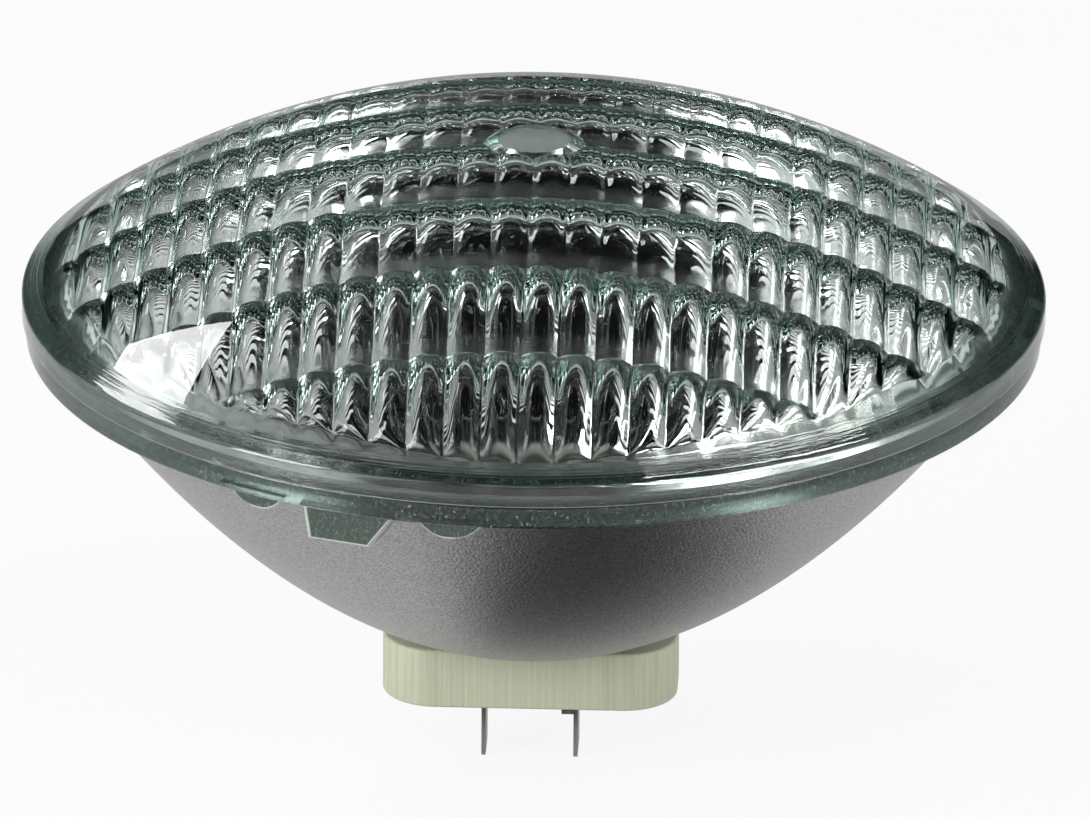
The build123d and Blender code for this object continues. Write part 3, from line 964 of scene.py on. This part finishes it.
def area_lamp(name, place, aim, size, power, roll=0.0):
    """Rectangular soft lamp at a place, turned to its aim and rolled about its beam."""
    data = bpy.data.lights.new(name, "AREA")
    data.shape = "RECTANGLE"
    data.size = size[0]
    data.size_y = size[1]
    data.energy = power
    lamp = bpy.data.objects.new(name, data)
    lamp.location = place
    facing = (Vector(aim) - Vector(place)).to_track_quat("-Z", "Y")
    lamp.rotation_euler = (facing @ Quaternion((0, 0, 1), math.radians(roll))).to_euler()
    lamp.visible_camera = False
    bpy.context.scene.collection.objects.link(lamp)
    return lamp


def set_camera(s):
    """Camera at the photograph's angle."""
    data = bpy.data.cameras.new("view")
    data.lens = s.focal
    data.sensor_width = 36.0
    data.sensor_fit = "HORIZONTAL"
    data.clip_end = 20.0
    camera = bpy.data.objects.new("view", data)
    away = Vector((
        math.sin(s.azimuth) * math.cos(s.elevation),
        -math.cos(s.azimuth) * math.cos(s.elevation),
        math.sin(s.elevation),
    ))
    target = Vector((s.target_x, 0, s.target_z))
    camera.location = target + s.distance * away
    facing = (-away).to_track_quat("-Z", "Y")
    camera.rotation_euler = (facing @ Quaternion((0, 0, 1), s.roll)).to_euler()
    bpy.context.scene.collection.objects.link(camera)
    bpy.context.scene.camera = camera


def build_stage(s):
    """Camera, world, floor, dark cards, a painted shadow sheet under the lamp, and soft lamps."""
    scene = bpy.context.scene
    scene.view_settings.view_transform = "Standard"
    scene.cycles.max_bounces = 8
    scene.cycles.diffuse_bounces = 1
    scene.cycles.glossy_bounces = 5
    scene.cycles.transmission_bounces = 7
    set_camera(s)
    light_world(s)
    floor_z = BLADE_LOW[2] - FLOOR_GAP
    sheet_on_stage("floor", (0, 0, floor_z), (4, 0, 0), (0, 4, 0), floor_paint(s))
    lamp_at = (0, 0, 0.06)
    dark = card_paint("dark_card", 0.005)
    grey = card_paint("grey_card", 0.5)
    rosy = card_paint("rosy_card", 0.38)
    above = sheet_on_stage("card_above", (0.15, -0.6, 0.95), (1.0, 0, 0), (0, 1.6, 0), dark)
    front = sheet_on_stage("card_front", (0, -2.2, 0.45), (0.8, 0, 0), (0, 0, 0.5), dark)
    behind = sheet_on_stage("card_behind", (0, 0.22, 0.11), (0.32, 0, 0), (0, 0, 0.045), dark)
    low = sheet_on_stage("card_low", (0, 0.22, 0.027), (0.32, 0, 0), (0, 0, 0.038), rosy)
    back = sheet_on_stage("card_back", (0, 0.8, 0.45), (1.4, 0, 0), (0, 0, 0.5), dark)
    far = sheet_on_stage("card_far", (0, 1.0, 0.45), (2.0, 0, 0), (0, 0, 0.5), grey)
    # Painted shadow: a dark sheet on the floor under the lamp, seen only in reflections, in place of the lamp's
    # shadow that the bowl mirrors there.
    below = sheet_on_stage("shadow_card_below", (0.027, -0.085, floor_z + 0.0003), (0.042, 0, 0), (0, 0.065, 0), dark)
    for sheet in (above, front, behind, low, back, far, below):
        sheet.visible_camera = False
        sheet.visible_diffuse = False
        sheet.visible_shadow = False
        sheet.visible_transmission = sheet not in (behind, low, back, below)
        sheet.visible_glossy = sheet is not far
    area_lamp("softbox_rear_left", (-0.58, 0.34, 0.65), lamp_at, (0.27, 0.19), 1.9)
    over = area_lamp("softbox_over_right", (0.36, 0.02, 0.77), lamp_at, (0.035, 0.45), 1.2, 31.6)
    over.visible_transmission = False
    area_lamp("softbox_left", (-0.85, -0.60, 0.42), lamp_at, (0.4, 0.5), 9)
    area_lamp("softbox_right", (0.85, -0.60, 0.42), lamp_at, (0.3, 0.5), 5)


class LampOperator:
    """What the lamp's operators share."""

    bl_options = {"REGISTER", "UNDO"}


class LAMP_OT_lens(LampOperator, Operator):
    """Make the fluted glass lens"""

    bl_idname = "lamp.lens"
    bl_label = "Fluted lens"

    def execute(self, context):
        build_lens(context.scene.lamp_lens)
        return {"FINISHED"}


class LAMP_OT_reflector(LampOperator, Operator):
    """Make the mirrored bowl with its flange"""

    bl_idname = "lamp.reflector"
    bl_label = "Mirror bowl"

    def execute(self, context):
        build_reflector(context.scene.lamp_reflector)
        return {"FINISHED"}


class LAMP_OT_lugs(LampOperator, Operator):
    """Make the locating lugs and seat pads under the flange"""

    bl_idname = "lamp.lugs"
    bl_label = "Lugs and pads"

    def execute(self, context):
        build_lugs(context.scene.lamp_lugs, context.scene.lamp_reflector)
        return {"FINISHED"}


class LAMP_OT_cap(LampOperator, Operator):
    """Make the ceramic cap"""

    bl_idname = "lamp.cap"
    bl_label = "Ceramic cap"

    def execute(self, context):
        build_cap(context.scene.lamp_cap)
        return {"FINISHED"}


class LAMP_OT_filament(LampOperator, Operator):
    """Make the coiled filament"""

    bl_idname = "lamp.filament"
    bl_label = "Filament"

    def execute(self, context):
        build_filament(context.scene.lamp_wire)
        return {"FINISHED"}


class LAMP_OT_finishes(LampOperator, Operator):
    """Give the blades and the inner pieces their finishes"""

    bl_idname = "lamp.finishes"
    bl_label = "Metal and ceramic finishes"

    def execute(self, context):
        dress_nodes()
        return {"FINISHED"}


class LAMP_OT_stage(LampOperator, Operator):
    """Set up the camera, the floor and the lamps"""

    bl_idname = "lamp.stage"
    bl_label = "Studio"

    def execute(self, context):
        build_stage(context.scene.lamp_stage)
        return {"FINISHED"}


class VIEW3D_PT_lamp(Panel):
    """Sidebar panel with the lamp's pieces"""

    bl_label = "Reflector lamp"
    bl_idname = "VIEW3D_PT_lamp"
    bl_space_type = "VIEW_3D"
    bl_region_type = "UI"
    bl_category = "Lamp"

    def draw(self, context):
        for operator in OPERATORS:
            self.layout.operator(operator.bl_idname)


SETTINGS = {
    "lamp_lens": LampLensSettings,
    "lamp_reflector": LampReflectorSettings,
    "lamp_lugs": LampLugSettings,
    "lamp_cap": LampCapSettings,
    "lamp_wire": LampWireSettings,
    "lamp_stage": LampStageSettings,
}
OPERATORS = (
    LAMP_OT_lens,
    LAMP_OT_reflector,
    LAMP_OT_lugs,
    LAMP_OT_cap,
    LAMP_OT_filament,
    LAMP_OT_finishes,
    LAMP_OT_stage,
)


def register():
    """Registers the settings, the operators and the panel."""
    for name, group in SETTINGS.items():
        bpy.utils.register_class(group)
        setattr(bpy.types.Scene, name, PointerProperty(type=group))
    for operator in OPERATORS:
        bpy.utils.register_class(operator)
    bpy.utils.register_class(VIEW3D_PT_lamp)


def unregister():
    """Takes the panel, the operators and the settings out again."""
    bpy.utils.unregister_class(VIEW3D_PT_lamp)
    for operator in reversed(OPERATORS):
        bpy.utils.unregister_class(operator)
    for name, group in SETTINGS.items():
        delattr(bpy.types.Scene, name)
        bpy.utils.unregister_class(group)


def main():
    """Builds every piece in order."""
    register()
    bpy.ops.lamp.lens()
    bpy.ops.lamp.reflector()
    bpy.ops.lamp.lugs()
    bpy.ops.lamp.cap()
    bpy.ops.lamp.filament()
    bpy.ops.lamp.finishes()
    bpy.ops.lamp.stage()


if __name__ == "__main__":
    main()
